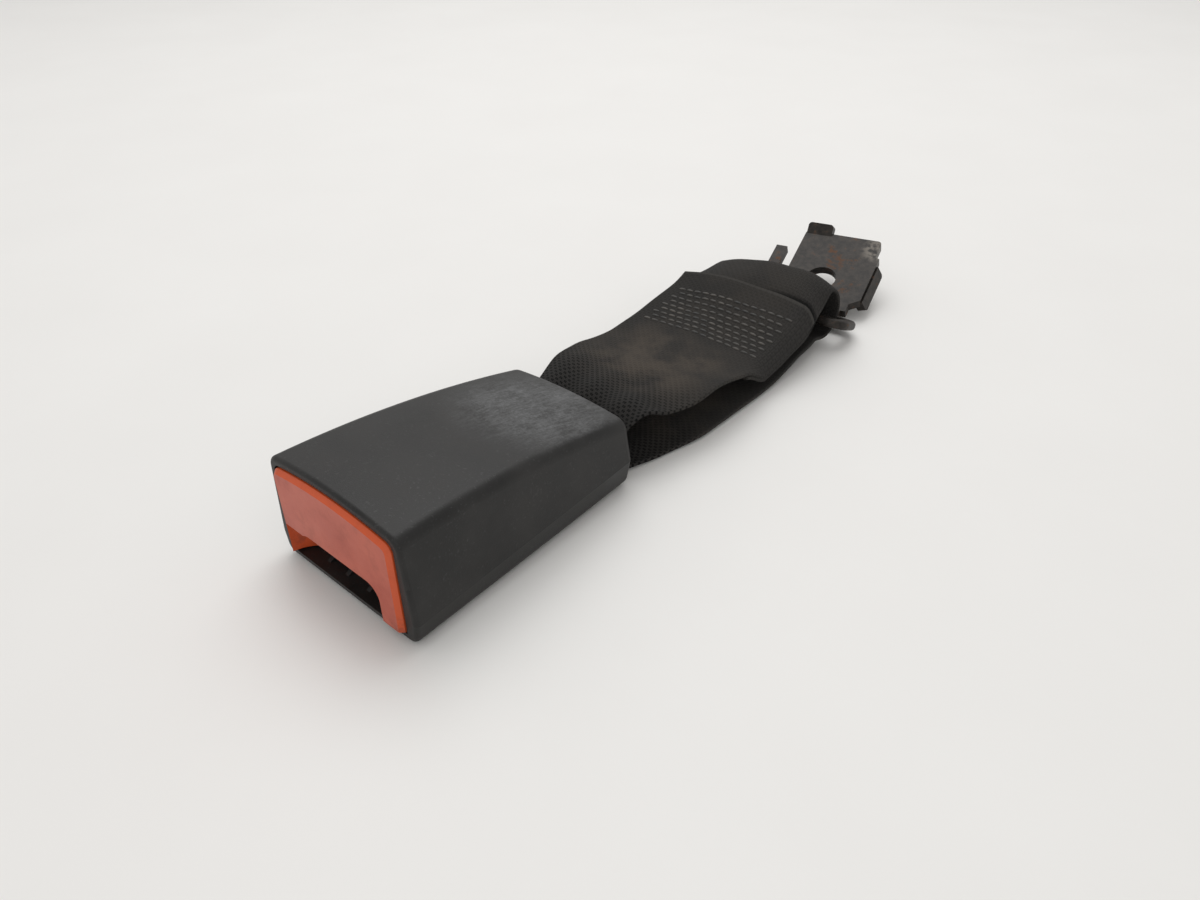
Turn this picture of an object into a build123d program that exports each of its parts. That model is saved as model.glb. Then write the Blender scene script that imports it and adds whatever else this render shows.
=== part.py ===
"""Rear seat belt buckle: latch head, sewn webbing loop and floor anchor plate.

Millimetres, +Z up.  The origin is the middle of the bolt hole in the anchor plate, and the belt runs
from there towards -Y, so the buckle's mouth looks along -Y.  Pieces of the head and the webbing are
drawn in planes that start at the middle of the mouth on the surface that the belt lies on:
"across" is along X, "depth" runs from the mouth to the anchor and "height" is up.
"""
from build123d import *
from math import atan2, cos, degrees, radians, sin
import os

os.makedirs("parts", exist_ok=True)

# ---------------------------------------------------------------- placing
buckle_across = -2.9        # middle of the buckle from the bolt hole
mouth_y = -199.5            # mouth of the buckle from the bolt hole
ground_z = -7.3             # surface that the belt lies on

# ---------------------------------------------------------------- housing
bar_depth = 68.3            # middle of the frame's bar from the mouth
length = bar_depth + 5.7
front_half_top = 22.9       # half widths at the top edge, the parting line and the bottom
rear_half_top = 20.3
front_half_belt = 24.9
rear_half_belt = 22.4
front_half_base = 23.9
rear_half_base = 20.9
front_edge_height = 28.7    # top edge at the mouth, before its corner radius
top_drop = 9.2              # fall of the top edge from mouth to rear
front_crown = 1.8           # rise of the crowned top above its edges
rear_crown = 1.2
front_corner = 3.2          # radius along the top edge
rear_corner = 4.0
base_corner = 2.8
mouth_round = 1.1           # radius round the mouth's outer edge
front_parting = 6.0         # height of the parting line
rear_parting = 8.5
base_rise = 0.5             # rise of the bottom at the rear
rear_round = 2.2
wall = 2.0
floor_height = 2.0
rear_floor_height = 1.5     # thinner floor under the webbing
thin_floor_depth = bar_depth - 8.3
floor_end = bar_depth + 2.2  # the floor stops short so that the webbing can swing
pocket_half = 21.2          # straight pocket that the button slides in
mouth_roof = 1.7            # wall over the pocket
pocket_ceiling = front_edge_height - mouth_roof
pocket_depth = 10.5
pocket_corner = 2.6
window_half = 19.0          # rear window for the webbing
window_top = 15.0

# ---------------------------------------------------------------- clearances
gap = 0.4                   # between pieces that pass each other
pin_clearance = 0.05        # radial, pin in a turning bore

# ---------------------------------------------------------------- frame
sheet = 2.0                 # steel of the frame
deck = 7.0                  # top of the frame's base, where the tongue slides
frame_half = 17.0
frame_front = 14.0
flange_front = 17.0
flange_rear = bar_depth - 11.3
flange_top = 19.8
bend_radius = 1.6
tail_half = 19.4            # wide rear end with the webbing slot
tail_end = bar_depth + 1.8
slot_rear = bar_depth - 1.8
slot_front = slot_rear - 5.0
slot_half = 17.7
bar_round = 0.9
latch_window_front = 28.3
latch_window_rear = 34.0

# ---------------------------------------------------------------- mechanism
pivot_depth = flange_rear - 9.0
lock_depth = pivot_depth - 4.0
pivot_height = deck + 6.4
pivot_radius = 1.5
latch_front = 28.0
latch_half = 9.0
latch_window_half = latch_half + gap
latch_sheet = 2.5
latch_under = deck + 4.6    # underside of the raised latch plate
nose_length = 3.0
nose_half = 6.0
nose_drop = 0.8             # how far the nose hangs below the plate
knuckle_radius = 2.6
knuckle_inner = 4.0         # the knuckles leave the middle free
shoulder_rear = lock_depth - 3.6
shoulder_front = shoulder_rear - 2.4
shoulder_inner = 6.5
shoulder_top = pivot_height + 3.2
latch_swing = 16.0          # degrees

ejector_front = 30.0
ejector_rear = 42.0
ejector_half = 8.5
ejector_top = deck + 1.9
ejector_travel = 10.0
lug_half = 1.9
lug_front = 38.0
spring_slot_half = 2.3
spring_slot_front = 37.5
spring_slot_rear = flange_rear + 1.0

lock_height = deck + 9.8
lock_radius = 1.5
lock_travel = 4.6
lock_half = 18.0
lock_slot_radius = lock_radius + 0.06

block_front = pivot_depth + 6.5
block_rear = block_front + 4.0
block_half = 7.0
block_top = deck + 12.0

lever_depth = pivot_depth + 4.9
lever_height = deck + 6.9
lever_pin_radius = 1.2
lever_hub = 2.4
lever_arm_inner = 11.2
lever_arm_outer = 13.2
lever_bar_front = lock_depth - 0.5
lever_bar_rear = lock_depth + 2.0
lever_bar_under = lock_height + lock_radius + 0.6
lever_bar_top = lever_bar_under + 1.5
weight_front = lever_depth + 2.5
weight_rear = lever_depth + 7.1
weight_inner = 8.3
weight_outer = 14.0
weight_bottom = deck + 4.5
weight_top = deck + 10.2
pin_half = 18.2
ring_width = 0.8

# ---------------------------------------------------------------- button
button_half = pocket_half - gap
button_front = -1.2         # the pad stands proud of the mouth
pad_depth = 3.6             # rear face of the front pad
button_top = pocket_ceiling - gap
button_foot = floor_height + 0.5
button_corner = 2.4
button_bevel = 1.0
button_travel = 5.0
hood_half = button_half - 0.6       # thin walls behind the pad
hood_depth = 10.0
hood_wall = 1.5
leg_rear = 8.0              # the legs are thick, to guide the tongue
leg_top = 11.6
arch_top = 12.0
arch_half = 14.5
arch_corner = 4.0
scoop_outer = 19.8          # the left leg is scooped out from here
scoop_rear = 5.8            # to here, where it meets the arch
scoop_hollow = 0.8
arm_inner = 11.0
arm_outer = 13.2
arm_bottom = 13.0
arm_top = 17.0
arm_rear = 31.5
button_spring_across = 16.0
button_spring_height = 14.5
peg_radius = 1.0
peg_length = 4.0

# ---------------------------------------------------------------- webbing
webbing_sheet = 1.2
webbing_half = 23.3
loop_half = 21.8            # the strap draws in where it turns round the anchor
neck_half = 17.2            # and folds in to pass the frame's slot
exit_half = 18.2
bar_height = deck - sheet / 2
bar_loop = 2.75             # radius of the strap's middle round the frame's bar
anchor_loop = 7.6           # and round the anchor's bar
loop_slack = (0.6, 2.9)     # middle of that loop from the middle of the bar, back and up
lying = 0.8                 # height of the strap's middle where it lies flat
sewn_pitch = webbing_sheet + 0.15
cut_back = 13.6             # cut end of the top layer, in front of the loop's middle
cut_height = 18.75
stitch_rows = 9
stitch_from = 0.68          # share of the top layer's length to the first row
stitch_to = 0.915           # and to the last
stitch_half = 19.5
stitch_height = 0.35
stitch_width = 0.7

# ---------------------------------------------------------------- anchor plate
plate = 3.0
yaw = 6.0                   # degrees that the plate is turned in the loop
tilt = 22.0                 # rise of the bolted part away from the buckle
rise = 24.0                 # rise of the slotted part towards the buckle
skew = 6.0                  # turn of the bolted part in its own plane
bolt_hole_radius = 5.25
ridge_reach = 15.0          # bend line from the bolt hole
bar_reach = 15.5            # middle of the bar from the bend line
anchor_bar = 5.2
anchor_bar_round = 1.2
anchor_slot = 7.9
anchor_slot_half = loop_half + 1.6
anchor_side = 3.8
slotted_corner = 6.5
plate_corner = 1.4
slot_offset = -5.8          # middle of the slot from the bolt hole, across
bolt_left = -12.8
bolt_right = 16.4
bolt_far = 21.8
corner_right = 14.8
neck_right = 13.2
finger_left = -20.8
finger_right = -16.8
finger_far = 12.3
tab_length = 4.6
tab_width = 9.2
tab_corner = 1.2
tab_bend = 35.0
notch_far = 14.0            # step in the right edge
side_tab_front = 10.5       # side tab, from and to, along the right edge
side_tab_rear = 7.0
side_tab_length = 4.2
side_tab_bend = 68.0

# ---------------------------------------------------------------- drawing planes
home = Plane((buckle_across, mouth_y, ground_z))
side = Plane(home.origin, x_dir=(0, 1, 0), z_dir=(1, 0, 0))
cross = Plane(home.origin, x_dir=(1, 0, 0), z_dir=(0, -1, 0))


def level(height):
    """Plane seen from above: x across, y depth."""
    return home.offset(height)


def aside(across):
    """Plane seen from the right: x depth, y height."""
    return side.offset(across)


def station(depth):
    """Plane seen from the mouth: x across, y height."""
    return cross.offset(-depth)


def box(across, depth, height, mode=Mode.ADD):
    """A block between pairs of limits, joined to or cut from the piece being made."""
    with BuildSketch(level(height[0])) as outline:
        with Locations(((across[0] + across[1]) / 2, (depth[0] + depth[1]) / 2)):
            Rectangle(across[1] - across[0], depth[1] - depth[0])
    extrude(outline.sketch, amount=height[1] - height[0], mode=mode)


def rod(depth, height, radius, across, mode=Mode.ADD):
    """A round bar along X between two limits."""
    with BuildSketch(aside(across[0])) as outline:
        with Locations((depth, height)):
            Circle(radius)
    extrude(outline.sketch, amount=across[1] - across[0], mode=mode)


def finish(piece, name):
    """Label a finished piece and write it."""
    piece.part.label = name
    export_step(piece.part, f"parts/{name}.step")


# ---------------------------------------------------------------- housing shapes
def between(front, rear, depth):
    return front + (rear - front) * depth / length


def parting_height(depth):
    return between(front_parting, rear_parting, depth)


def top_edge(depth):
    return front_edge_height - top_drop * (depth / length) ** 2


hood_top = top_edge(hood_depth + button_travel) - wall - gap


def half_width(depth, height):
    """Outside half width of the upper cover at a height above the parting line."""
    belt = between(front_half_belt, rear_half_belt, depth)
    top = between(front_half_top, rear_half_top, depth)
    share = (height - parting_height(depth)) / (top_edge(depth) - parting_height(depth))
    return belt + (top - belt) * share


def housing_outline(depth, inset):
    """Section of the closed housing at one depth, pulled in by inset."""
    top = between(front_half_top, rear_half_top, depth) - inset
    belt = between(front_half_belt, rear_half_belt, depth) - inset
    base = between(front_half_base, rear_half_base, depth) - inset
    edge = top_edge(depth) - inset
    crown = edge + between(front_crown, rear_crown, depth)
    bottom = base_rise * (depth / length) ** 4 + inset
    parting = parting_height(depth)
    with BuildSketch(station(depth)) as section:
        with BuildLine():
            Polyline((-top, edge), (-belt, parting), (-base, bottom), (base, bottom), (belt, parting), (top, edge))
            ThreePointArc((top, edge), (0, crown), (-top, edge))
        make_face()
        corner = max(between(front_corner, rear_corner, depth) - inset, 0.8)
        fillet(vertices().group_by(Axis.Y)[-1], corner)
        fillet(vertices().group_by(Axis.Y)[0], max(base_corner - inset, 0.5))
    return section.sketch


def mouth_outline(half, foot, edge, corner):
    """Section of the pocket, or of what fills it: straight sides under a crowned top."""
    with BuildSketch(station(-1)) as section:
        with BuildLine():
            Polyline((-half, edge), (-half, foot), (half, foot), (half, edge))
            ThreePointArc((half, edge), (0, edge + front_crown), (-half, edge))
        make_face()
        fillet(vertices().group_by(Axis.Y)[-1], corner)
    return section.sketch


def housing_body():
    loft([housing_outline(length * share, 0) for share in (0, 1 / 3, 2 / 3, 1)])
    fillet(faces().sort_by(Axis.Y)[-1].edges(), rear_round)
    fillet(faces().sort_by(Axis.Y)[0].edges(), mouth_round)


def housing_hollow():
    inner_length = length - wall - pocket_depth
    depths = [pocket_depth + inner_length * share for share in (0, 1 / 3, 2 / 3, 1)]
    loft([housing_outline(depth, wall) for depth in depths], mode=Mode.SUBTRACT)
    extrude(mouth_outline(pocket_half, floor_height, pocket_ceiling, pocket_corner),
            amount=-(pocket_depth + 1.5), mode=Mode.SUBTRACT)
    box((-window_half, window_half), (length - 6, length + 2), (rear_floor_height, window_top), Mode.SUBTRACT)
    box((-window_half, window_half), (thin_floor_depth, length + 2), (rear_floor_height, floor_height + 1),
        Mode.SUBTRACT)
    box((-window_half, window_half), (floor_end, length + 2), (-1, rear_floor_height + 1), Mode.SUBTRACT)


parting_slope = atan2(rear_parting - front_parting, length)
parting_plane = Plane(home.origin + Vector(0, 0, front_parting), x_dir=(1, 0, 0),
                      z_dir=(0, -sin(parting_slope), cos(parting_slope)))
hook_depths = (24.0, 52.0)
hook_width = 5.0
hook_sheet = 1.3
hook_rise = 5.5
barb = 0.7
hold_down_depth = (34.0, 37.0)

# Upper cover: crowned shell, open at the mouth and at the webbing window, with pockets for the hooks.
with BuildPart() as upper_cover:
    housing_body()
    housing_hollow()
    split(bisect_by=parting_plane, keep=Keep.TOP)
    for hand in (-1, 1):
        for depth in hook_depths:
            catch = parting_height(depth) + hook_rise
            outer = half_width(depth, catch) - wall
            limits = sorted((hand * (outer - 0.5), hand * (outer + barb + 0.2)))
            box(limits, (depth - hook_width / 2 - 0.3, depth + hook_width / 2 + 0.3), (catch - 1.7, catch + 0.3),
                Mode.SUBTRACT)
        rib = sorted((hand * (frame_half - sheet), hand * frame_half))
        box(rib, hold_down_depth, (flange_top, top_edge(hold_down_depth[1]) - wall + 0.8))
finish(upper_cover, "upper_cover")

# Lower cover: shallow tray with the mouth's lip, lead-in ribs, frame rests and four snap hooks.
lead_in_ribs = (-11.0, -4.0, 4.0, 11.0)
with BuildPart() as lower_cover:
    housing_body()
    housing_hollow()
    split(bisect_by=parting_plane, keep=Keep.BOTTOM)
    for across in lead_in_ribs:
        with BuildSketch(aside(across - 0.6)):
            with BuildLine():
                Polyline((2.5, floor_height - 0.3), (frame_front - gap, floor_height - 0.3),
                         (frame_front - gap, deck - 0.3), (12.0, deck - 0.3), (2.5, floor_height), close=True)
            make_face()
        extrude(amount=1.2)
    for across in (-12.0, 12.0):
        box((across - 0.9, across + 0.9), (frame_front + 1, thin_floor_depth - 1), (floor_height - 0.3, deck - sheet))
    for hand in (-1, 1):
        for depth in hook_depths:
            catch = parting_height(depth) + hook_rise
            outer = half_width(depth, catch) - wall - 0.1
            span = (depth - hook_width / 2, depth + hook_width / 2)
            box(sorted((hand * (outer - hook_sheet), hand * outer)), span, (floor_height - 0.3, catch))
            with BuildSketch(station(span[0])):
                with BuildLine():
                    Polyline((hand * (outer - 0.2), catch - 1.5), (hand * (outer + barb), catch - 1.5),
                             (hand * (outer - 0.2), catch), close=True)
                make_face()
            extrude(amount=-hook_width)
finish(lower_cover, "lower_cover")

# Frame: folded channel with flanges, latch window, spring slot and the bar that the webbing turns round.
with BuildPart() as frame:
    with BuildSketch(station(flange_front)):
        with BuildLine():
            middle = frame_half - sheet / 2
            FilletPolyline((-middle, flange_top), (-middle, bar_height), (middle, bar_height), (middle, flange_top),
                           radius=bend_radius)
        trace(line_width=sheet)
    extrude(amount=flange_front - flange_rear)
    with BuildSketch(side):
        with BuildLine():
            Polyline((flange_front - 1, flange_top - 3.8), (flange_front, flange_top - 3.8),
                     (flange_front + 9, flange_top), (flange_front + 9, flange_top + 2),
                     (flange_front - 1, flange_top + 2), close=True)
        make_face()
        with BuildLine():
            Polyline((flange_rear + 1, deck + 3), (flange_rear - 6.5, flange_top), (flange_rear - 6.5, flange_top + 2),
                     (flange_rear + 1, flange_top + 2), close=True)
        make_face()
    extrude(amount=frame_half + 2, both=True, mode=Mode.SUBTRACT)
    with BuildSketch(level(deck - sheet)):
        with BuildLine():
            Polyline((-frame_half + 2, frame_front), (frame_half - 2, frame_front), (frame_half - 2, flange_rear - 3),
                     (tail_half, flange_rear + 1.5), (tail_half, tail_end), (-tail_half, tail_end),
                     (-tail_half, flange_rear + 1.5), (-frame_half + 2, flange_rear - 3), close=True)
        make_face()
        fillet(vertices().group_by(Axis.Y)[0], 1.5)
    extrude(amount=sheet)
    box((-slot_half, slot_half), (slot_front, slot_rear), (deck - sheet - 1, deck + 1), Mode.SUBTRACT)
    box((-latch_window_half, latch_window_half), (latch_window_front, latch_window_rear),
        (deck - sheet - 1, deck + 1), Mode.SUBTRACT)
    box((-spring_slot_half, spring_slot_half), (spring_slot_front, spring_slot_rear),
        (deck - sheet - 1, deck + 1), Mode.SUBTRACT)
    with BuildSketch(aside(-frame_half - 1)):
        with Locations((pivot_depth, pivot_height)):
            Circle(pivot_radius)
        with Locations((lever_depth, lever_height)):
            Circle(lever_pin_radius)
        with Locations((lock_depth - lock_travel / 2, lock_height)):
            SlotCenterToCenter(lock_travel + 0.3, 2 * lock_slot_radius)
    extrude(amount=2 * frame_half + 2, mode=Mode.SUBTRACT)
    bar_edges = edges().filter_by(Axis.X).filter_by(lambda e: e.center().Y > mouth_y + slot_rear - 0.1)
    fillet(bar_edges, bar_round)
finish(frame, "frame")

# Latch plate: nose at the front, two shoulders for the lock bar, split knuckles at the pivot.
with BuildPart() as latch_plate:
    box((-latch_half, latch_half), (latch_front, pivot_depth - 1.0), (latch_under, latch_under + latch_sheet))
    box((-nose_half, nose_half), (latch_front, latch_front + nose_length), (latch_under - nose_drop, latch_under + 1))
    for hand in (-1, 1):
        box(sorted((hand * shoulder_inner, hand * latch_half)), (shoulder_front, shoulder_rear),
            (latch_under + 1, shoulder_top))
        rod(pivot_depth, pivot_height, knuckle_radius, sorted((hand * knuckle_inner, hand * latch_half)))
    box((-knuckle_inner, knuckle_inner), (pivot_depth - 3.5, pivot_depth + 3), (latch_under - 3, latch_under + 5),
        Mode.SUBTRACT)
    rod(pivot_depth, pivot_height, pivot_radius + pin_clearance, (-latch_half - 1, latch_half + 1), Mode.SUBTRACT)
    chamfer(edges().filter_by(Axis.X).group_by(Axis.Y)[0].sort_by(Axis.Z)[0], 0.7)
finish(latch_plate, "latch_plate")

# Pivot pins of the latch and of the inertia lever, and the rings that keep them.
with BuildPart() as latch_pin:
    rod(pivot_depth, pivot_height, pivot_radius, (-pin_half, pin_half))
finish(latch_pin, "latch_pin")

with BuildPart() as inertia_pin:
    rod(lever_depth, lever_height, lever_pin_radius, (-pin_half, pin_half))
finish(inertia_pin, "inertia_pin")

with BuildPart() as retaining_rings:
    for hand in (-1, 1):
        span = sorted((hand * frame_half, hand * (frame_half + ring_width)))
        rod(pivot_depth, pivot_height, pivot_radius + 1.0, span)
        rod(lever_depth, lever_height, lever_pin_radius + 0.8, span)
        rod(pivot_depth, pivot_height, pivot_radius, span, Mode.SUBTRACT)
        rod(lever_depth, lever_height, lever_pin_radius, span, Mode.SUBTRACT)
finish(retaining_rings, "retaining_rings")

# Ejector: flat slide on the deck with a lug in the spring slot.
with BuildPart() as ejector:
    box((-ejector_half, ejector_half), (ejector_front, ejector_rear), (deck + gap, ejector_top))
    box((-lug_half, lug_half), (lug_front, ejector_rear), (deck - sheet + 0.2, deck + gap))
    chamfer(faces().sort_by(Axis.Z)[-1].edges().filter_by(Axis.X), 0.4)
    fillet(edges().filter_by(Axis.Z).group_by(Axis.Y)[0], 1.0)
finish(ejector, "ejector")

# Lock bar: rides in the slots of both flanges.
with BuildPart() as lock_bar:
    rod(lock_depth, lock_height, lock_radius, (-lock_half, lock_half))
    chamfer(edges().filter_by(GeomType.CIRCLE), 0.3)
finish(lock_bar, "lock_bar")

# Spring block: stands astride the spring slot and seats the ejector spring and the lock spring.
ejector_spring_height = deck - sheet / 2
with BuildPart() as spring_block:
    box((-block_half, block_half), (block_front, block_rear), (deck, block_top))
    box((-spring_slot_half, spring_slot_half), (block_front - 1, block_rear + 1), (deck - 1, deck + 1.6),
        Mode.SUBTRACT)
    fillet(edges().filter_by(Axis.Z), 0.8)
    fillet(faces().sort_by(Axis.Z)[-1].edges(), 0.5)
finish(spring_block, "spring_block")

# Inertia lever: two arms on the pin, a notched bar above the lock bar and a weight behind each arm.
with BuildPart() as inertia_lever:
    for hand in (-1, 1):
        arm = sorted((hand * lever_arm_inner, hand * lever_arm_outer))
        with BuildSketch(aside(arm[0])):
            with BuildLine():
                Polyline((lever_bar_front, lever_bar_under), (lever_bar_front, lever_bar_top),
                         (lever_bar_rear + 1, lever_bar_top), (weight_rear - 1, weight_top),
                         (weight_rear - 1, weight_bottom + 1), (lever_depth, lever_height - lever_hub),
                         (lever_depth - lever_hub, lever_height), (lever_bar_rear, lever_bar_under), close=True)
            make_face()
        extrude(amount=lever_arm_outer - lever_arm_inner)
        rod(lever_depth, lever_height, lever_hub, arm)
        box(sorted((hand * weight_inner, hand * weight_outer)), (weight_front, weight_rear),
            (weight_bottom, weight_top))
        rod(lever_depth, lever_height, lever_pin_radius + pin_clearance, arm, Mode.SUBTRACT)
    box((-lever_arm_outer, lever_arm_outer), (lever_bar_front, lever_bar_rear), (lever_bar_under, lever_bar_top))
    box((-2.4, 2.4), (lever_bar_front - 1, lever_bar_rear + 1), (lever_bar_under - 1, lever_bar_under + 0.5),
        Mode.SUBTRACT)
finish(inertia_lever, "inertia_lever")

# Release button: bevelled pad over an arch, hood walls behind it, two arms and two spring pegs.
with BuildPart() as release_button:
    extrude(mouth_outline(button_half, button_foot, button_top, button_corner).moved(
        Location((0, button_front + 1, 0))), amount=button_front - pad_depth)
    front_edges = faces().sort_by(Axis.Y)[0].edges()
    chamfer(front_edges.filter_by(lambda e: e.center().Z > ground_z + button_foot + 0.5), button_bevel)
    with BuildSketch(station(pad_depth - 0.2)):
        with Locations((0, (hood_top + button_foot) / 2)):
            Rectangle(2 * hood_half, hood_top - button_foot)
        fillet(vertices().group_by(Axis.Y)[-1], button_corner)
        with Locations((0, (hood_top - hood_wall + button_foot) / 2 - 1)):
            Rectangle(2 * (hood_half - hood_wall), hood_top - hood_wall - button_foot + 2, mode=Mode.SUBTRACT)
    extrude(amount=pad_depth - 0.2 - hood_depth)
    for hand in (-1, 1):
        box(sorted((hand * (arch_half - 1), hand * (hood_half - 0.5))), (pad_depth - 0.2, leg_rear),
            (button_foot, leg_top))
    with BuildSketch(station(button_front - 1)):
        with Locations((0, arch_top / 2)):
            Rectangle(2 * arch_half, arch_top)
        fillet(vertices().group_by(Axis.Y)[-1], arch_corner)
    extrude(amount=-hood_depth - 1, mode=Mode.SUBTRACT)
    with BuildSketch(level(button_foot - 1)):
        with BuildLine():
            ThreePointArc((-scoop_outer, button_front),
                          (-(scoop_outer + arch_half) / 2 - scoop_hollow,
                           (button_front + scoop_rear) / 2 + scoop_hollow),
                          (-arch_half + 0.1, scoop_rear))
            Polyline((-arch_half + 0.1, scoop_rear), (-arch_half + arch_corner, scoop_rear),
                     (-arch_half + arch_corner, button_front - 0.5), (-scoop_outer, button_front - 0.5),
                     (-scoop_outer, button_front))
        make_face()
    extrude(amount=leg_top - 0.4 - button_foot + 1, mode=Mode.SUBTRACT)
    for hand in (-1, 1):
        box(sorted((hand * arm_inner, hand * arm_outer)), (pad_depth - 0.2, arm_rear), (arm_bottom, arm_top))
        with BuildSketch(station(pad_depth - 0.2)):
            with Locations((hand * button_spring_across, button_spring_height)):
                Circle(peg_radius)
        extrude(amount=-peg_length)
finish(release_button, "release_button")


# ---------------------------------------------------------------- springs
def spring(name, across, depth, height, radius, wire, turns, run):
    base = Plane(home.origin + Vector(across, depth, height), x_dir=(1, 0, 0), z_dir=(0, 1, 0))
    with BuildPart() as piece:
        with BuildLine(base) as path:
            Helix(pitch=(run - wire) / turns, height=run - wire, radius=radius, center=(0, 0, wire / 2),
                  direction=(0, 1, 0))
        with BuildSketch(Plane(origin=path.line @ 0, z_dir=path.line % 0)):
            RegularPolygon(wire / 2, 6)
        sweep(is_frenet=True)
    finish(piece, name)


spring("ejector_spring", 0, ejector_rear, ejector_spring_height, 1.5, 0.5, 8, spring_slot_rear - ejector_rear)
spring("lock_spring", 0, lock_depth + lock_radius, lock_height, 1.3, 0.4, 6, block_front - lock_depth - lock_radius)
for label, hand in (("button_spring_left", -1), ("button_spring_right", 1)):
    spring(label, hand * button_spring_across, pad_depth, button_spring_height, 2.0, 0.6, 6,
           flange_front - pad_depth)

# ---------------------------------------------------------------- planes of the anchor plate
along_bar = Vector(cos(radians(yaw)), sin(radians(yaw)), 0)
away = Vector(-sin(radians(yaw)), cos(radians(yaw)), 0)
up_slope = away * cos(radians(tilt)) + Vector(0, 0, sin(radians(tilt)))
down_slope = away * cos(radians(rise)) - Vector(0, 0, sin(radians(rise)))
bolt_plane = Plane((0, 0, 0), x_dir=along_bar, z_dir=along_bar.cross(up_slope))
ridge = up_slope * -ridge_reach
slot_plane = Plane(ridge, x_dir=along_bar, z_dir=along_bar.cross(down_slope))
skewed_plane = Plane((0, 0, 0), x_dir=along_bar.rotate(Axis((0, 0, 0), bolt_plane.z_dir), skew),
                     z_dir=bolt_plane.z_dir)
bar_middle = slot_plane.from_local_coords((slot_offset, -bar_reach, 0))
anchor_loop_depth = bar_middle.Y - mouth_y + loop_slack[0]
anchor_loop_height = bar_middle.Z - ground_z + loop_slack[1]
run_length = anchor_loop_depth - bar_depth


def on_run(share, height):
    """A point over the strap's run from the frame's bar to the anchor's loop."""
    return bar_depth + run_length * share, height


# ---------------------------------------------------------------- webbing
with BuildPart() as webbing:
    with BuildSketch(side):
        with BuildLine() as run:
            under_layer = Spline(on_run(0.52, 12.2 - sewn_pitch), on_run(0.69, 13.6 - sewn_pitch),
                                 on_run(0.79, 16.1 - sewn_pitch), on_run(0.88, 18.6 - sewn_pitch),
                                 (anchor_loop_depth, anchor_loop_height + anchor_loop),
                                 tangents=((1, 0.02), (1, 0)))
            ThreePointArc((anchor_loop_depth, anchor_loop_height + anchor_loop),
                          (anchor_loop_depth + anchor_loop, anchor_loop_height),
                          (anchor_loop_depth, anchor_loop_height - anchor_loop))
            Spline((anchor_loop_depth, anchor_loop_height - anchor_loop), on_run(0.79, lying), on_run(0.40, lying),
                   on_run(0.21, lying), (bar_depth, bar_height - bar_loop), tangents=((-1, 0), (-1, 0)))
            ThreePointArc((bar_depth, bar_height - bar_loop), (bar_depth - bar_loop, bar_height),
                          (bar_depth, bar_height + bar_loop))
            top_layer = Spline((bar_depth, bar_height + bar_loop), on_run(0.09, 12.7), on_run(0.20, 15.3),
                               on_run(0.35, 13.2), on_run(0.52, 12.3), on_run(0.69, 13.7), on_run(0.79, 16.1),
                               (anchor_loop_depth - cut_back, cut_height), tangents=((1, 0), (1, 0.3)))
        trace(line_width=webbing_sheet)
    extrude(amount=webbing_half, both=True)
    with BuildSketch(level(-1)):
        with BuildLine():
            Polyline((neck_half, bar_depth - 5), (neck_half, bar_depth + 3), (exit_half, length),
                     ((exit_half + webbing_half) / 2, bar_depth + 0.14 * run_length),
                     (webbing_half, bar_depth + 0.35 * run_length), (webbing_half, anchor_loop_depth - cut_back),
                     (loop_half, anchor_loop_depth - 4),
                     (loop_half, anchor_loop_depth + 10), (0, anchor_loop_depth + 10), (0, bar_depth - 5),
                     close=True)
        make_face()
        mirror(about=Plane.YZ)
    extrude(amount=40, mode=Mode.INTERSECT)
finish(webbing, "webbing")

with BuildPart() as stitching:
    for row in range(stitch_rows):
        share = stitch_from + (stitch_to - stitch_from) * row / (stitch_rows - 1)
        spot = top_layer @ share
        lean = degrees(atan2((top_layer % share).Y, (top_layer % share).X))
        with BuildSketch(aside(-stitch_half)):
            with Locations(Location((spot.X, spot.Y, 0), (0, 0, lean))):
                with Locations((0, webbing_sheet / 2 + stitch_height / 2 + 0.02)):
                    Rectangle(stitch_width, stitch_height)
        extrude(amount=2 * stitch_half)
finish(stitching, "stitching")

# ---------------------------------------------------------------- anchor plate
def on_bolt_part(across, reach):
    """Plane on the bolted part, at a place measured from the bolt hole."""
    return Plane(skewed_plane.from_local_coords((across, reach, 0)), x_dir=skewed_plane.x_dir,
                 z_dir=skewed_plane.z_dir)


def bent(flat, hinge, angle):
    """A plane turned about one of its own directions."""
    turn = Axis((0, 0, 0), hinge)
    return Plane(flat.origin, x_dir=flat.x_dir.rotate(turn, angle), z_dir=flat.z_dir.rotate(turn, angle))


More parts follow.
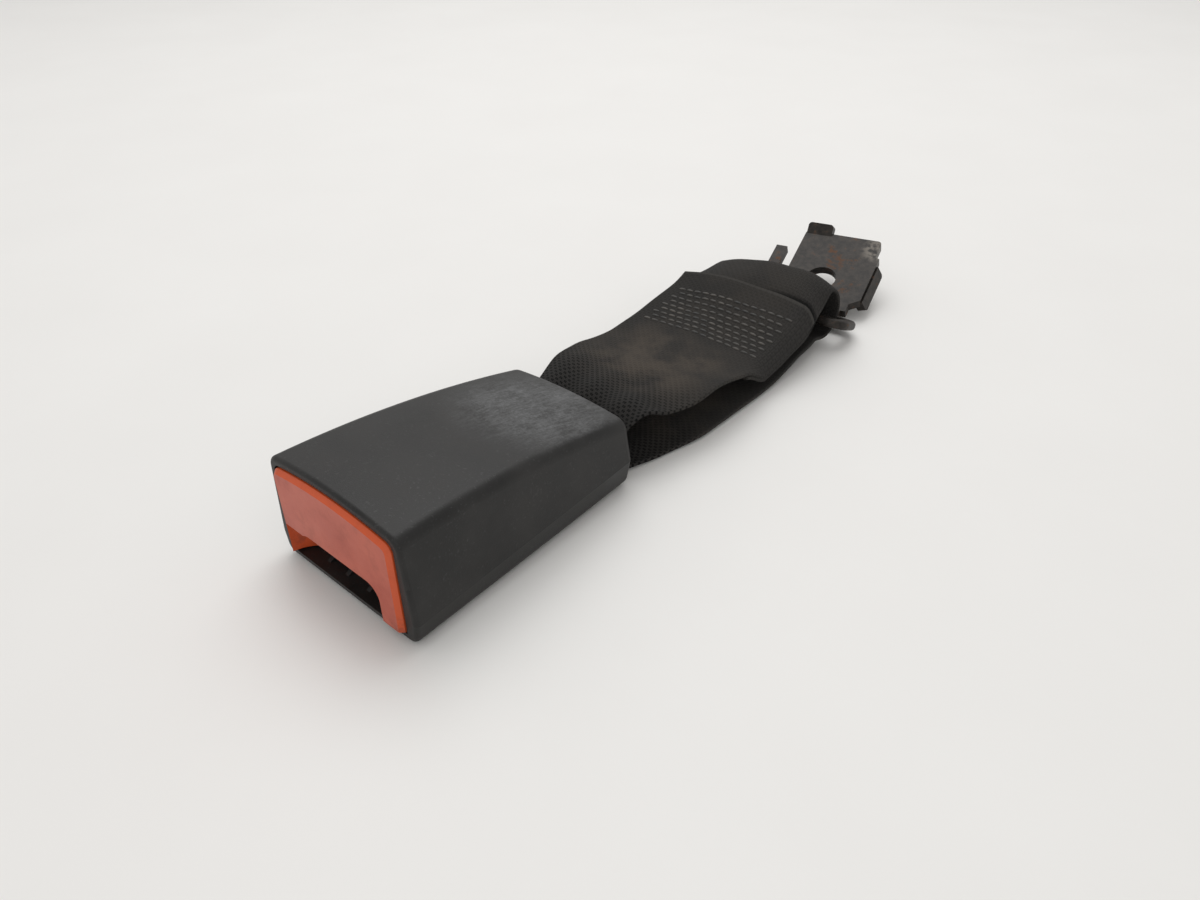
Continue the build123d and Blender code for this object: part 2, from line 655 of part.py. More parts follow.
with BuildPart() as anchor_plate:
    with BuildSketch(skewed_plane):
        with BuildLine():
            Polyline((bolt_left, -ridge_reach + 2), (bolt_left, bolt_far), (corner_right, bolt_far),
                     (corner_right, notch_far), (bolt_right, notch_far - 0.6), (bolt_right, -side_tab_rear),
                     (neck_right, -side_tab_rear - 2.5), (neck_right, -ridge_reach + 2), close=True)
        make_face()
        fillet(vertices().group_by(Axis.Y)[-1], plate_corner)
        with Locations(((finger_left + finger_right) / 2, (finger_far - ridge_reach) / 2)):
            Rectangle(finger_right - finger_left, finger_far + ridge_reach)
        with Locations(Vector((neck_right + finger_left) / 2, -ridge_reach / 2 - 3, 0).rotate(Axis.Z, -skew)):
            Rectangle(neck_right - finger_left - 1, ridge_reach - 6, rotation=-skew)
        Circle(bolt_hole_radius, mode=Mode.SUBTRACT)
    extrude(amount=plate / 2, both=True)
    with BuildSketch(slot_plane):
        with Locations((slot_offset, -(bar_reach + anchor_bar / 2) / 2)):
            Rectangle(2 * (anchor_slot_half + anchor_side), bar_reach + anchor_bar / 2)
        fillet(vertices(), slotted_corner)
        with Locations((slot_offset, -bar_reach + anchor_bar / 2 + anchor_slot / 2)):
            Rectangle(2 * anchor_slot_half, anchor_slot, mode=Mode.SUBTRACT)
    extrude(amount=plate / 2, both=True)
    with BuildSketch(Plane(ridge + along_bar * finger_left, x_dir=(0, 0, 1), z_dir=along_bar)):
        Circle(plate / 2)
    extrude(amount=neck_right - finger_left)
    with BuildSketch(bent(on_bolt_part(bolt_left + 4.9, bolt_far - 0.8), skewed_plane.x_dir, tab_bend)):
        with Locations((0, tab_length / 2)):
            Rectangle(tab_width, tab_length)
        fillet(vertices().group_by(Axis.Y)[-1], tab_corner)
    extrude(amount=plate / 2, both=True)
    side_tab_root = on_bolt_part(bolt_right - 0.8, (side_tab_front - side_tab_rear) / 2)
    with BuildSketch(bent(side_tab_root, skewed_plane.y_dir, side_tab_bend)):
        with Locations((side_tab_length / 2, 0)):
            Rectangle(side_tab_length, side_tab_front + side_tab_rear)
        fillet(vertices().group_by(Axis.X)[-1], tab_corner)
    extrude(amount=plate / 2, both=True)
    near_bar = anchor_bar / 2 + plate / 2
    bar_edges = edges().filter_by(lambda e: (e.center() - bar_middle).length < near_bar)
    fillet(bar_edges, anchor_bar_round)
finish(anchor_plate, "anchor_plate")
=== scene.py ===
# %% [markdown]
# A seat belt buckle on a short strap: a moulded latch head, a loop of sewn webbing and a bent steel
# anchor plate. The rigid pieces come from the shared frame as they are, and each gets its own finish
# here; three springs are shown by copies of their nodes. The webbing and its stitches are soft, so
# they are modelled in this file and stand for the plain strap of the frame.

# %% Load the frame
import math

import bmesh
import bpy
from mathutils import Matrix, Vector, noise


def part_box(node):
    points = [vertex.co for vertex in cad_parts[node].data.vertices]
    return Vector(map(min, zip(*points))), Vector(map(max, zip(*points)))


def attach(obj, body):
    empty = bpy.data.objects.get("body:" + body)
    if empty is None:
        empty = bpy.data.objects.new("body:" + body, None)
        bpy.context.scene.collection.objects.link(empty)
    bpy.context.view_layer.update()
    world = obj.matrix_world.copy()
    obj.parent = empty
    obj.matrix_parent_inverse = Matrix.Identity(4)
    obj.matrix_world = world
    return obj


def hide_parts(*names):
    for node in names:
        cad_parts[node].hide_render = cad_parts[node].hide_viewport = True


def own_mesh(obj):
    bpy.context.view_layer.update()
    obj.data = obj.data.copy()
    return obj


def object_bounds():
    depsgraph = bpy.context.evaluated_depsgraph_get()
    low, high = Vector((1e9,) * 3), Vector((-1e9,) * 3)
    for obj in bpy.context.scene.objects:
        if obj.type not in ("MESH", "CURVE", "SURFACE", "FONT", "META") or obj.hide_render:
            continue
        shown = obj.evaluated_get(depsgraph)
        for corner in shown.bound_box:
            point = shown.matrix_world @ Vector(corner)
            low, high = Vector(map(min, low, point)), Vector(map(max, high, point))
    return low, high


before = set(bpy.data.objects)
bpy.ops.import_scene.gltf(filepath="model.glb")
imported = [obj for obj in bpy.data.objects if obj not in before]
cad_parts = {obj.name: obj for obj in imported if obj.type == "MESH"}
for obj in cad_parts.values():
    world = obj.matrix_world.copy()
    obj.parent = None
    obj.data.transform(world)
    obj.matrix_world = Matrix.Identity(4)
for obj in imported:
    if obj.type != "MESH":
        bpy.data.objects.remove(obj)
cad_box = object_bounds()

print("nodes", sorted(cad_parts))

# %% [markdown]
# All sizes below are written as on a drawing, in millimetres, and measured from the buckle's mouth:
# across it, back from it and up from the surface that it lies on. One function turns such a place
# into metres in the frame, so a size can be read without knowing where the frame's origin is.

# %% Places on the buckle
MM = 0.001
cover_low, cover_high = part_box("lower_cover")
mouth = Vector(((cover_low.x + cover_high.x) / 2, cover_low.y, cover_low.z))
head_length = (cover_high.y - cover_low.y) / MM


def place(across, depth, height):
    """A place in the frame from a place on the buckle in millimetres."""
    return mouth + Vector((across, depth, height)) * MM


def at_depth(depth):
    """The frame's Y at a depth on the buckle."""
    return place(0, depth, 0).y


def at_height(height):
    """The frame's Z at a height on the buckle."""
    return place(0, 0, height).z


print("mouth at", tuple(round(v, 4) for v in mouth), "head length", round(head_length, 1), "mm")

# %% [markdown]
# The camera stands to the right of the buckle's mouth and looks down on it. Its place, turn and lens
# are set as numbers rather than by a tracking constraint, because the head is seen from close by and
# a small turn changes how steeply its edges run.

# %% Camera
picture_width = 1200        # in pixels, like the focal length
focal_pixels = 936.3
camera_place = place(146.0, -76.9, 150.6)
camera_turn = math.radians(-41.88)
camera_pitch = math.radians(35.55)
camera_roll = math.radians(-0.54)

camera_data = bpy.data.cameras.new("camera")
camera_data.sensor_width = 36.0
camera_data.lens = camera_data.sensor_width * focal_pixels / picture_width
camera_data.clip_start = 0.01
camera = bpy.data.objects.new("camera", camera_data)
bpy.context.scene.collection.objects.link(camera)

level_forward = Vector((math.sin(camera_turn), math.cos(camera_turn), 0))
level_right = Vector((math.cos(camera_turn), -math.sin(camera_turn), 0))
forward = level_forward * math.cos(camera_pitch) - Vector((0, 0, math.sin(camera_pitch)))
level_up = level_forward * math.sin(camera_pitch) + Vector((0, 0, math.cos(camera_pitch)))
right = level_right * math.cos(camera_roll) + level_up * math.sin(camera_roll)
up = level_up * math.cos(camera_roll) - level_right * math.sin(camera_roll)
turn = Matrix((right, up, -forward)).transposed()
camera.matrix_world = Matrix.Translation(camera_place) @ turn.to_4x4()
bpy.context.scene.camera = camera
print("camera lens", round(camera_data.lens, 2), "mm")

# %% [markdown]
# A wide lamp above and behind the buckle gives the soft light of a bright room, and a weaker one in
# front keeps the mouth from going dark. The world fills the shadows. Together they light a level
# surface so that its colour renders nearly as it is written.

# %% Light
def soft_lamp(name, power, size, where, towards):
    """A square lamp of a size in metres that faces a place."""
    data = bpy.data.lights.new(name, "AREA")
    data.energy = power
    data.size = size
    lamp = bpy.data.objects.new(name, data)
    lamp.location = where
    lamp.rotation_euler = (Vector(towards) - Vector(where)).to_track_quat("-Z", "Y").to_euler()
    bpy.context.scene.collection.objects.link(lamp)


stage_middle = place(0, 100, 0)
soft_lamp("overhead", 5.4, 0.9, stage_middle + Vector((-0.30, 0.35, 0.95)), stage_middle)
soft_lamp("front", 0.8, 0.6, stage_middle + Vector((0.45, -0.75, 0.55)), stage_middle)

world = bpy.data.worlds.new("world")
world.use_nodes = True
world.node_tree.nodes["Background"].inputs["Color"].default_value = (1.0, 0.99, 0.975, 1.0)
world.node_tree.nodes["Background"].inputs["Strength"].default_value = 0.62
bpy.context.scene.world = world
bpy.context.scene.view_settings.view_transform = "Standard"

# %% [markdown]
# Finishes are built from a few noises and masks. A small class wraps a node's output so that a mask
# reads as a sum, such as 1 - dust * 0.5, and one method adds any other node. Numbers alone are worked
# out in Python, so the node trees hold only what changes over the surface.

# %% Shader words
class Wire:
    """A shader number or vector; arithmetic on it adds Math nodes."""

    def __init__(self, finish, socket):
        self.finish = finish
        self.socket = socket

    def maths(self, operation, *others):
        """A Math node on this number and any others."""
        return self.finish.node("ShaderNodeMath", {"operation": operation}, dict(enumerate((self, *others))))

    def __add__(self, other):
        return self.maths("ADD", other)

    def __sub__(self, other):
        return self.maths("SUBTRACT", other)

    def __mul__(self, other):
        return self.maths("MULTIPLY", other)

    def __truediv__(self, other):
        return self.maths("DIVIDE", other)

    def __rsub__(self, other):
        return self.finish.node("ShaderNodeMath", {"operation": "SUBTRACT"}, {0: other, 1: self})

    __radd__ = __add__
    __rmul__ = __mul__

    def wave(self):
        """The number's distance from the nearest whole number, from 0 to 0.5."""
        return self.maths("PINGPONG", 0.5)

    def between(self, low, high):
        """0 below low, 1 above high and a smooth rise between."""
        return self.finish.node("ShaderNodeMapRange", {"interpolation_type": "SMOOTHSTEP"},
                                {"Value": self, "From Min": low, "From Max": high})

    def part(self, axis):
        """One component of a vector."""
        return self.finish.node("ShaderNodeSeparateXYZ", {}, {0: self}, "XYZ".index(axis))


class Finish:
    """A material made of one Principled BSDF and the nodes that feed it."""

    def __init__(self, name, **settings):
        self.material = bpy.data.materials.new(name)
        self.material.use_nodes = True
        self.tree = self.material.node_tree
        self.shader = self.tree.nodes["Principled BSDF"]
        for socket, value in settings.items():
            self.set(socket.replace("_", " "), value)

    def node(self, kind, settings, sockets, output=0):
        """Adds a node: its settings first, then its sockets, by name or number."""
        node = self.tree.nodes.new(kind)
        for name, value in settings.items():
            setattr(node, name, value)
        for key, value in sockets.items():
            self.join(value, node.inputs[key])
        return Wire(self, node.outputs[output])

    def join(self, value, socket):
        """Links a wire to a socket, or writes a plain value into it."""
        if isinstance(value, Wire):
            self.tree.links.new(value.socket, socket)
        else:
            socket.default_value = value

    def set(self, name, value):
        """Sets or links one input of the shader; a colour may leave out its alpha."""
        if isinstance(value, tuple) and len(value) == 3:
            value = (*value, 1.0)
        self.join(value, self.shader.inputs[name])

    def here(self):
        """The place on the piece, in metres of the frame."""
        return self.node("ShaderNodeTexCoord", {}, {}, "Object")

    def along(self, vector, scale):
        """A vector stretched or shrunk, axis by axis."""
        return self.node("ShaderNodeVectorMath", {"operation": "MULTIPLY"}, {0: vector, 1: scale})

    def noise(self, vector, size, detail=3.0, roughness=0.55):
        """Noise from 0 to 1 with lumps of a size in millimetres."""
        return self.node("ShaderNodeTexNoise", {}, {"Vector": vector, "Scale": 1 / (size * MM), "Detail": detail,
                                                    "Roughness": roughness}, "Fac")

    def mix(self, amount, first, second):
        """Colour between two colours."""
        colours = {6: first, 7: second}
        colours = {key: (*c, 1.0) if isinstance(c, tuple) else c for key, c in colours.items()}
        return self.node("ShaderNodeMix", {"data_type": "RGBA"}, {0: amount, **colours}, 2)

    def bump(self, height, distance, strength=1.0):
        """Raises the surface by a height from 0 to 1 times a distance in millimetres."""
        relief = self.node("ShaderNodeBump", {}, {"Height": height, "Distance": distance * MM,
                                                  "Strength": strength}, "Normal")
        self.set("Normal", relief)


def dress(finish, *names):
    """Gives nodes of the frame their finish."""
    for name in names:
        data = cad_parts[name].data
        data.materials.clear()
        data.materials.append(finish.material)
    print(finish.material.name, "on", ", ".join(names))


# %% [markdown]
# The covers are black polypropylene with a fine moulded grain. Handling has polished the edges and
# greyed the rear half of the top, where the buckle rubs against the seat. That patch is a soft oval
# broken up by noise, with specks and short scratches along the head.

# %% Cover finish
patch_centre = place(3, 59, 24)
patch_half = (22, 24, 16)   # half the patch's size across, along and up, in millimetres
cover = Finish("cover_black", Specular_IOR_Level=0.3)
cover_spot = cover.here()
cover_grain = cover.noise(cover_spot, 0.28, 2.0)
from_patch = cover.node("ShaderNodeVectorMath", {"operation": "SUBTRACT"},
                        {0: cover_spot, 1: patch_centre})
patch_shape = cover.along(from_patch, tuple(1 / (half * MM) for half in patch_half))
patch_reach = cover.node("ShaderNodeVectorMath", {"operation": "LENGTH"}, {0: patch_shape}, "Value")
facing_up = cover.node("ShaderNodeTexCoord", {}, {}, "Normal").part("Z").between(0.72, 0.93)
patch = (1 - patch_reach.between(0.45, 1.15)) * facing_up
clouds = cover.noise(cover_spot, 9, 5.0, 0.65)
specks = cover.noise(cover_spot, 0.7, 4.0, 0.75)
long_rubs = cover.noise(cover.along(cover_spot, (1.0, 0.16, 1.0)), 0.9, 3.0, 0.7)
scratched = (specks * 0.55 + long_rubs * 0.55).between(0.42, 0.72)
scuff = patch * (clouds.between(0.30, 0.62) * 0.35 + scratched * 0.65)
dull = cover.noise(cover_spot, 16, 3.0).between(0.35, 0.7)
cover_colour = cover.mix(dull, (0.0130, 0.0127, 0.0123), (0.0265, 0.0255, 0.0245))
lint = cover.noise(cover_spot, 0.8, 3.0, 0.7).between(0.56, 0.72) * clouds.between(0.35, 0.60)
cover.set("Base Color", cover.mix(scuff * 0.85 + lint * 0.16, cover_colour, (0.145, 0.147, 0.15)))
cover.set("Roughness", 0.42 + dull * 0.12 + scuff * 0.2)
cover.bump(cover_grain * 0.7 + specks * patch * 0.5, 0.05)
dress(cover, "upper_cover", "lower_cover")

# %% [markdown]
# The button is coloured through in orange red, and the faces that look forward get a painted sheen:
# a duller and pinker orange than the faces that look up.
# Grime gathers low on its legs, and a painted shade darkens it behind its front, inside the housing.

# %% Button finish
button = Finish("button_red")
button_spot = button.here()
grime = button.noise(button_spot, 5, 5.0, 0.7)
button_low = 1 - button_spot.part("Z").between(at_height(3), at_height(11))
# Painted shade: the button is darkened behind its front, where it sits inside the housing; grime noise adds to it.
shade_behind_front = button_spot.part("Y").between(at_depth(2.2), at_depth(5))
grime_and_front_shade = (grime.between(0.48, 0.72) * (0.25 + button_low * 0.5) + shade_behind_front * 0.45)
facing = button.node("ShaderNodeTexCoord", {}, {}, "Normal").part("Y")
# Painted sheen: faces that look forward are given a duller, pinker orange, as light falls on them.
forward_sheen_mask = (facing * -1).between(0.75, 0.97)
forward_sheen_colour = button.mix(button.noise(button_spot, 11).between(0.3, 0.7), (0.45, 0.082, 0.046), (0.53, 0.115, 0.068))
orange_and_sheen = button.mix(forward_sheen_mask, (0.60, 0.085, 0.018), forward_sheen_colour)
button.set("Base Color", button.mix(grime_and_front_shade, orange_and_sheen, (0.20, 0.04, 0.02)))
button.set("Roughness", 0.36 + grime * 0.2)
button.bump(button.noise(button_spot, 0.35, 2.0), 0.02)
dress(button, "release_button")

# %% [markdown]
# The anchor plate is phosphated and waxed, so it is nearly black with a dull gleam. Rust starts where
# the press bent it, and the corners that touch the seat frame are rubbed to bare steel.

# %% Anchor plate finish
rubbed_corner = (0.0115, 0.0185, 0.0085)    # in metres of the frame
anchor = Finish("anchor_steel", Specular_IOR_Level=0.35)
anchor_spot = anchor.here()
mottle = anchor.noise(anchor_spot, 2.2, 5.0, 0.65)
blotch = anchor.noise(anchor_spot, 7, 4.0, 0.6)
rust = (blotch * 0.6 + mottle * 0.5).between(0.60, 0.74)
bare_corner = anchor.node("ShaderNodeVectorMath", {"operation": "DISTANCE"},
                          {0: anchor_spot, 1: rubbed_corner}, "Value")
bare = (1 - bare_corner.between(3.5 * MM, 7.5 * MM)) * mottle.between(0.35, 0.6)
phosphate = anchor.mix(mottle.between(0.3, 0.7), (0.013, 0.0112, 0.010), (0.036, 0.030, 0.0255))
rusted = anchor.mix(rust * 0.75, phosphate, (0.14, 0.062, 0.028))
anchor.set("Base Color", anchor.mix(bare * 0.6, rusted, (0.17, 0.15, 0.125)))
anchor.set("Metallic", 0.30 - rust * 0.28)
anchor.set("Roughness", 0.46 + rust * 0.35 - bare * 0.08)
anchor.bump(mottle + anchor.noise(anchor_spot, 0.5, 3.0) * 0.5, 0.06)
dress(anchor, "anchor_plate")

# %% [markdown]
# Inside, the frame, latch and inertia lever are zinc-plated pressings, the pins are ground, the
# springs are drawn wire, and the ejector and the spring block are natural acetal.

# %% Inner finishes
def metal(name, light, dark, roughness, lump):
    """A bare or plated steel: two greys in soft lumps and a faint drawing grain."""
    finish = Finish(name, Metallic=1.0)
    spot = finish.here()
    drift = finish.noise(spot, lump, 4.0)
    drawn = finish.noise(finish.along(spot, (1.0, 0.12, 1.0)), 0.3, 2.0)
    finish.set("Base Color", finish.mix(drift.between(0.3, 0.7), dark, light))
    finish.set("Roughness", roughness + drift * 0.12)
    finish.bump(drawn, 0.015)
    return finish


dress(metal("frame_steel", (0.58, 0.57, 0.53), (0.42, 0.41, 0.38), 0.30, 4), "frame", "latch_plate", "inertia_lever")
dress(metal("pin_steel", (0.66, 0.66, 0.66), (0.55, 0.55, 0.56), 0.20, 3), "latch_pin", "inertia_pin", "lock_bar")
dress(metal("spring_steel", (0.50, 0.50, 0.52), (0.36, 0.36, 0.38), 0.28, 2), "retaining_rings", "ejector_spring",
      "lock_spring", "button_spring_left", "button_spring_right")

acetal = Finish("inner_plastic", Roughness=0.35)
acetal_drift = acetal.noise(acetal.here(), 5)
acetal.set("Base Color", acetal.mix(acetal_drift, (0.72, 0.70, 0.64), (0.80, 0.79, 0.75)))
acetal.bump(acetal.noise(acetal.here(), 0.4, 2.0), 0.01)
dress(acetal, "ejector", "spring_block")

# %% [markdown]
# A spring shortens when the piece in front of it is pushed back. Three springs do so within the
# travel of a joint. Each is shown by a copy of its node, fixed to the housing, and the node itself
# is hidden.


def closing_spring(node):
    """A copy of a spring's node, fixed to the housing, in place of the node."""
    spring = bpy.data.objects.new(node + "_coil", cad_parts[node].data.copy())
    bpy.context.scene.collection.objects.link(spring)
    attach(spring, "housing")
    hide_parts(node)
    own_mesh(spring)


closing_spring("ejector_spring")
closing_spring("button_spring_left")
closing_spring("button_spring_right")

# %% [markdown]
# The strap is one length of webbing. It starts hidden under the sewn block, turns round the anchor
# plate's bar, comes back along the surface, turns round the bar of the buckle's frame and lies on
# itself, where the block of stitches holds it. Three rails carry it: the paths of its left edge, its
# middle and its right edge, as (depth, height) pairs. They differ because a handled strap twists.

# %% Rails of the strap
webbing_sheet = 1.2
webbing_half = 23.3
sewn_gap = 1.35             # between the middles of the two layers that are sewn together
hidden_from, hidden_to = 120, 152
lying = 0.8                 # height of the cloth's middle where it lies on the surface

top_rails = {
    -1: [(72, 9.9), (78, 13.2), (84, 14.8), (91, 16.3), (99, 14.7), (108, 12.5), (116, 11.9), (124, 12.7),
         (132, 13.5), (140, 14.7), (148, 16.1), (152, 17.3), (154.6, 18.5)],
    0: [(72, 10.0), (78, 13.6), (84, 15.8), (91, 15.6), (99, 14.1), (108, 12.9), (116, 12.3), (124, 12.2),
        (132, 12.6), (140, 13.8), (148, 16.4), (154, 18.9), (157.6, 20.4)],
    1: [(72, 10.0), (78, 14.6), (84, 16.6), (91, 13.8), (99, 13.1), (108, 14.0), (116, 13.0), (124, 11.0),
        (132, 9.4), (140, 10.4), (148, 12.2), (156, 14.8), (160.4, 16.5)],
}
bar_depth, bar_height, bar_loop = 68.3, 6.0, 2.75
anchor_loop_depth, anchor_loop_height, anchor_loop = 171.58, 10.885, 7.6
fold_swell = {-1: -3.1, 0: 3.4, 1: 0.6}    # the fold is crowned: higher in the middle
before_fold = {-1: [(154, 15.4), (163, 15.2)], 0: [(155, 17.3), (163, 20.3)], 1: [(156, 12.9), (164, 16.6)]}
resting = {-1: [(160, 1.7), (148, lying), (134, lying)], 0: [(160, 1.7), (148, lying), (134, lying)],
           1: [(163, 5.4), (154, 4.8), (139, 1.2)]}


def strap_rail(side):
    """Points of one rail from the hidden end to the cut end."""
    top = [Vector(p) for p in top_rails[side]]
    hidden = [p - Vector((0, sewn_gap)) for p in top if hidden_from < p.x < hidden_to]
    swell = fold_swell[side]
    fold = []
    for step in range(7):
        angle = math.radians(90 - 30 * step)
        reach = anchor_loop + swell * max(0.0, math.sin(angle))
        fold.append(Vector((anchor_loop_depth + anchor_loop * math.cos(angle),
                            anchor_loop_height + reach * math.sin(angle))))
    under = [Vector(p) for p in resting[side] + [(120, lying), (106, lying), (92, lying), (80, 1.6), (73.5, 2.7)]]
    turn_back = []
    for step in range(5):
        angle = math.radians(270 - 45 * step)
        turn_back.append(Vector((bar_depth + bar_loop * math.cos(angle), bar_height + bar_loop * math.sin(angle))))
    return hidden + [Vector(p) for p in before_fold[side]] + fold + under + turn_back + top


rails = {side: strap_rail(side) for side in top_rails}
print("points on each rail", [len(r) for r in rails.values()])

# %% [markdown]
# A smooth curve through a rail's points comes from Catmull-Rom blending, which passes through each
# point. The strap's cross-section at any place joins the three rails, so it bends gently sideways
# too. It draws in where it passes the slot of the buckle's frame, which gathers it into small waves,
# and its right edge rolls down along the sewn part.

# %% Surface of the strap
slot_half = 17.2            # half the cloth's width in the slot of the buckle's frame
gather_share = 0.16         # height of the waves for each millimetre that the cloth is drawn in
edge_tuck = 1.2             # how far the right edge draws in at the fold
edge_droop = 3.6            # how far the right edge rolls down where the strap is sewn
crease_height = 0.55


def on_rail(points, place_along):
    """A point on the smooth curve through points, at a place counted in points."""
    i = min(int(place_along), len(points) - 2)
    f = place_along - i
    a, b, c, d = (points[min(max(k, 0), len(points) - 1)] for k in range(i - 1, i + 3))
    return 0.5 * (2 * b + (c - a) * f + (2 * a - 5 * b + 4 * c - d) * f * f + (3 * b - a - 3 * c + d) * f ** 3)


def smooth(value, low, high):
    """0 below low, 1 above high and a smooth rise between."""
    f = min(max((value - low) / (high - low), 0.0), 1.0)
    return f * f * (3 - 2 * f)


def half_width(depth):
    """Half the strap's width, narrow in the frame's slot and at the anchor's bar."""
    opening = slot_half + 2.8 * smooth(depth, 76, 90) + 3.3 * smooth(depth, 86, 106)
    return opening - 0.7 * smooth(depth, 158, 168)


def strap_middle(place_along, side):
    """A point on the middle of the strap's thickness, as (across, depth, height) in millimetres."""
    left, middle, right_edge = (on_rail(rails[k], place_along) for k in (-1, 0, 1))
    near_fold = smooth(middle.x, 152, 166)
    bend = abs(side) ** (2.0 + 1.5 * near_fold * (side > 0))
    flat = left * ((bend - side) / 2) + middle * (1 - bend) + right_edge * ((bend + side) / 2)
    across = half_width(middle.x) * side - edge_tuck * near_fold * max(0.0, side)
    sewn = smooth(flat.x, 124, 134) * (1 - smooth(flat.x, 166, 174)) * smooth(flat.y, 6.0, 8.0)
    droop = edge_droop * sewn * max(0.0, (side - 0.86) / 0.14) ** 1.6
    gathered = (webbing_half - half_width(middle.x)) * gather_share
    ripple = gathered * math.cos(side * 3.0 * math.pi + 0.6) * smooth(flat.x, 70, 80)
    free = smooth(flat.x, 76, 92) * (1 - smooth(flat.x, 160, 168)) * smooth(flat.y, 2.0, 6.0)
    crease = noise.noise(Vector((across / 13, flat.x / 15, flat.y / 9 + 3.1))) * crease_height * free
    return Vector((across, flat.x, flat.y + ripple + crease - droop))


segments = len(rails[0]) - 1
print("segments", segments)

# %% [markdown]
# The mesh is a grid along and across the strap, given its thickness by moving each point out on both
# sides. The selvedges are rounded by thinning the last half millimetre. A UV map in millimetres along
# and across the cloth lets the weave follow it round every turn.

# %% Webbing mesh
steps_each = 14                         # rows of the grid between two points of a rail
columns = 40
flat_part = 0.945                       # the share of the width that the even columns take
selvedge = [1.0, 0.994, 0.984, 0.97]    # where the columns that round an edge lie


def cloth_normal(middle, r, c):
    """The direction out of the cloth at one point of its grid."""
    ahead = middle[min(r + 1, len(middle) - 1)][c] - middle[max(r - 1, 0)][c]
    beside = middle[r][min(c + 1, len(middle[r]) - 1)] - middle[r][max(c - 1, 0)]
    return ahead.cross(beside).normalized()


def cloth_half(side):
    """Half the cloth's thickness, which runs out round the selvedges."""
    rim = max(0.0, (abs(side) * webbing_half - (webbing_half - webbing_sheet / 2)) / (webbing_sheet / 2))
    return webbing_sheet / 2 * math.sqrt(max(0.0, 1 - rim * rim))


def sheet_faces(rows, wide):
    """Quads on both sides of a grid, then those that close its two ends."""
    other_side = rows * wide
    faces = []
    for r in range(rows - 1):
        for c in range(wide - 1):
            a = r * wide + c
            faces.append((a, a + wide, a + wide + 1, a + 1))
            b = a + other_side
            faces.append((b, b + 1, b + wide + 1, b + wide))
    for r in (0, rows - 1):
        for c in range(wide - 1):
            a = r * wide + c
            cap = (a, a + 1, a + other_side + 1, a + other_side)
            faces.append(cap if r == 0 else cap[::-1])
    return faces


def webbing_mesh(name):
    """The strap, and how far along the cloth each row of its grid lies."""
    inner = [flat_part * (1 - 2 * k / columns) for k in range(columns + 1)]
    sides = selvedge + inner + [-e for e in reversed(selvedge)]
    rows = segments * steps_each + 1
    middle = [[strap_middle(r / steps_each, s) for s in sides] for r in range(rows)]
    run = [0.0]
    centre = len(sides) // 2
    for r in range(1, rows):
        run.append(run[-1] + (middle[r][centre] - middle[r - 1][centre]).length)
    points, cloth = [], []
    for face in (1, -1):
        for r in range(rows):
            for c, s in enumerate(sides):
                points.append(place(*(middle[r][c] + cloth_normal(middle, r, c) * cloth_half(s) * face)))
                cloth.append((s * webbing_half, run[r]))
    faces = sheet_faces(rows, len(sides))
    data = bpy.data.meshes.new(name)
    data.from_pydata(points, [], faces)
    uv = data.uv_layers.new(name="cloth")
    for loop in data.loops:
        uv.data[loop.index].uv = cloth[loop.vertex_index]
    end_caps = 2 * (len(sides) - 1)
    rounded = len(faces) - end_caps
    data.polygons.foreach_set("use_smooth", [True] * rounded + [False] * end_caps)
    piece = bpy.data.objects.new(name, data)
    bpy.context.scene.collection.objects.link(piece)
    return piece, run


webbing, strap_run = webbing_mesh("webbing_cloth")
strap_length = strap_run[-1]
cut_end_slant = (top_rails[1][-1][0] - top_rails[-1][-1][0]) / (2 * webbing_half)
covered = [on_rail(rails[0], r / steps_each).x < top_rails[0][-1][0] for r in range(len(strap_run))]
cut_line = strap_run[covered.index(False)]
print("strap length", round(strap_length), "mm, faces", len(webbing.data.polygons), "cut line", round(cut_line, 1))

# %% Close the selvedges
weld = 0.004                # both sides of the sheet meet within this at a selvedge
work = bmesh.new()
work.from_mesh(webbing.data)
bmesh.ops.remove_doubles(work, verts=work.verts, dist=weld * MM)
bmesh.ops.recalc_face_normals(work, faces=work.faces)
open_edges = sum(1 for edge in work.edges if not edge.is_manifold)
work.to_mesh(webbing.data)
work.free()
print("open edges", open_edges)

# %% [markdown]
# Polyester webbing is woven as staggered floats: each warp bundle passes over a few wefts and dips
# under one, and the dips read as pits. The pattern is worked out from the cloth's own map: rows along
# the strap, every second one shifted by half a float, with a finer rib between them. The pits are
# painted nearly black as shade and the ridges lighter, and the painted shade in the pits is deeper
# near the head. A painted shadow lies behind the cut end, whose last millimetre is lighter, and dust
# settles on the raised middle.

# %% Webbing finish
cloth = Finish("webbing_black", Roughness=0.9, Specular_IOR_Level=0.2)
cloth_map = cloth.node("ShaderNodeUVMap", {"uv_map": "cloth"}, {}, "UV")
cloth_spot = cloth.here()
float_width = 1.05
float_length = 2.1
warp = cloth_map.part("X") / float_width
weft = cloth_map.part("Y") / float_length
bundle = warp.maths("FLOOR")
shifted = weft + bundle * 0.5
ridge = 1 - (warp + 0.5).wave() * 2.0
ridge = 1 - ridge.maths("POWER", 2.0)
dip = 1 - (shifted.wave() * 2.0).between(0.0, 0.55)
near_head = 1 - cloth_spot.part("Y").between(at_depth(88), at_depth(110))
ribs = cloth_map.part("X").maths("MULTIPLY", 2 / float_width).wave()
weave = ridge * 0.35 + 0.6 + ribs * 0.45 - dip * (0.42 + near_head * 0.8) * ridge.between(0.1, 0.8)
# Painted shadow: a dark band on the cloth just behind the cut end, where the cut end shades the layer under it.
behind_cut = cloth_map.part("Y") - cloth_map.part("X") * cut_end_slant - cut_line
shade = behind_cut.between(-6.0, -0.5) * (1 - behind_cut.between(0.6, 2.6))
